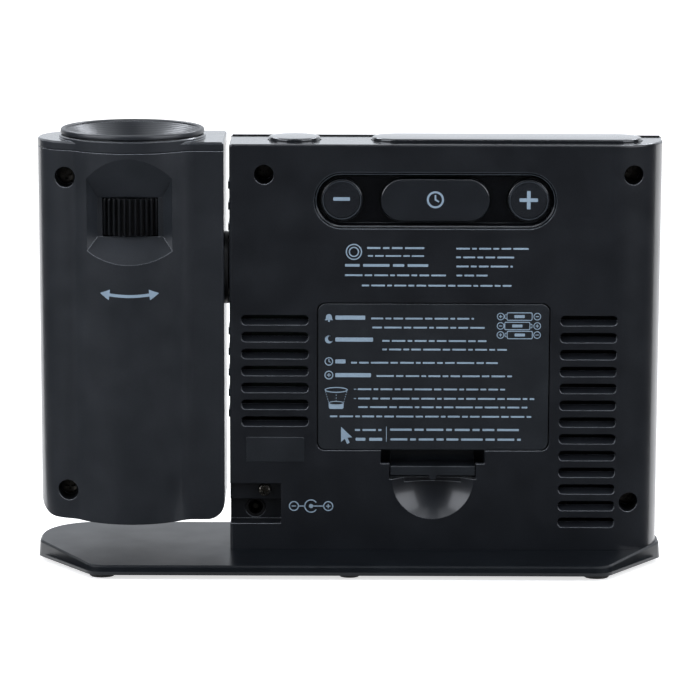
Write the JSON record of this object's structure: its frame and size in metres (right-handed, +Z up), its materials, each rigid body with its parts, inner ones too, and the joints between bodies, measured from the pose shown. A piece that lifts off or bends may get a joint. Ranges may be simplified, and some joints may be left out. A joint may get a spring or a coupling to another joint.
{
  "type": "projection alarm clock",
  "caption": "Upright projection alarm clock with a tilting projector tower, an image rotation wheel, sprung buttons and a hinged battery door on a wedge-shaped base plate.",
  "frame": {"origin": "middle of the base plate, at the height of the table that the rubber feet stand on", "axes": "+Z up, +Y to the back with the buttons and the battery door, +X towards the projector tower"},
  "size_m": [0.1596, 0.048, 0.1128],
  "materials": {
    "surround_plastic": "black ABS from a polished mould",
    "housing_plastic": "matte black ABS with a fine moulded texture",
    "base_plastic": "satin black ABS",
    "gloss_window": "polished smoked acrylic",
    "button_plastic": "matte black ABS",
    "door_plastic": "matte black ABS",
    "shroud_plastic": "matte black ABS with fine anti-glare rings",
    "tube_plastic": "dull black polycarbonate",
    "rubber": "matte black rubber",
    "screw_black": "black zinc plating",
    "screw_steel": "nickel-plated steel",
    "contact_steel": "nickel-plated spring steel",
    "jack_plastic": "gloss black nylon",
    "jack_pin": "plated brass",
    "board": "green solder mask on glass epoxy",
    "switch": "black nylon",
    "lcd": "glass display",
    "light_guide": "white backlit acrylic",
    "clear_lens": "clear optical acrylic",
    "lamp": "phosphor over a white package",
    "ferrite": "sintered ferrite",
    "copper": "lacquered copper wire",
    "buzzer": "black PBT"
  },
  "bodies": {
    "clock": {"base_plate": "base_plastic", "rubber_feet": "rubber", "base_screws": "screw_black", "back_cover": "housing_plastic", "front_bezel": "housing_plastic", "display_window": "gloss_window", "lcd_panel": "lcd", "light_guide": "light_guide", "housing_screws": "screw_black", "inlet_screw": "screw_steel", "key_surround": "surround_plastic", "key_board": "board", "key_switches": "switch", "top_board": "board", "top_switches": "switch", "main_board": "board", "buzzer": "buzzer", "antenna_rod": "ferrite", "antenna_coil": "copper", "battery_tray": "housing_plastic", "battery_contacts": "contact_steel", "battery_springs": "contact_steel", "power_jack": "jack_plastic", "jack_pin": "jack_pin", "friction_washer": "contact_steel"},
    "projector_tower": {"tower_rear_shell": "housing_plastic", "tower_front_shell": "housing_plastic", "tower_screws": "screw_black", "tower_cap": "housing_plastic", "lens_shroud": "shroud_plastic", "pivot_hub": "tube_plastic", "pivot_retainer": "tube_plastic", "led_board": "board", "projector_led": "lamp", "condenser_lens": "clear_lens"},
    "rotating_optics": {"rotation_wheel": "button_plastic", "lens_tube": "tube_plastic", "image_panel": "lcd", "projection_lens": "clear_lens"},
    "minus_button": {"minus_button": "button_plastic"},
    "set_button": {"set_button": "button_plastic"},
    "plus_button": {"plus_button": "button_plastic"},
    "alarm_button": {"alarm_button": "button_plastic"},
    "snooze_bar": {"snooze_bar": "button_plastic"},
    "battery_door": {"battery_door": "door_plastic"}
  },
  "joints": [
    {"name": "tower_tilt", "type": "hinge", "parent": "clock", "child": "projector_tower", "pos_m": [0.03165, 0.00091, 0.07619], "axis": [1, 0, 0], "range_deg": [-90, 90]},
    {"name": "image_rotation", "type": "hinge", "parent": "projector_tower", "child": "rotating_optics", "pos_m": [0.055, -0.00051, 0.0855], "axis": [0, 0.0628, 0.998], "range_deg": [-180, 180]},
    {"name": "minus_button_press", "type": "slide", "parent": "clock", "child": "minus_button", "axis": [0, -0.998, 0.0628], "range_m": [0, 0.0006], "stiffness_N_per_m": 300, "springref_m": -0.0003},
    {"name": "set_button_press", "type": "slide", "parent": "clock", "child": "set_button", "axis": [0, -0.998, 0.0628], "range_m": [0, 0.0006], "stiffness_N_per_m": 300, "springref_m": -0.0003},
    {"name": "plus_button_press", "type": "slide", "parent": "clock", "child": "plus_button", "axis": [0, -0.998, 0.0628], "range_m": [0, 0.0006], "stiffness_N_per_m": 300, "springref_m": -0.0003},
    {"name": "alarm_button_press", "type": "slide", "parent": "clock", "child": "alarm_button", "axis": [0, -0.0628, -0.998], "range_m": [0, 0.0006], "stiffness_N_per_m": 300, "springref_m": -0.0003},
    {"name": "snooze_bar_press", "type": "slide", "parent": "clock", "child": "snooze_bar", "axis": [0, -0.0628, -0.998], "range_m": [0, 0.0006], "stiffness_N_per_m": 500, "springref_m": -0.0003},
    {"name": "battery_door_hinge", "type": "hinge", "parent": "clock", "child": "battery_door", "pos_m": [-0.021, 0.01061, 0.06797], "axis": [1, 0, 0], "range_deg": [0, 75]}
  ]
}
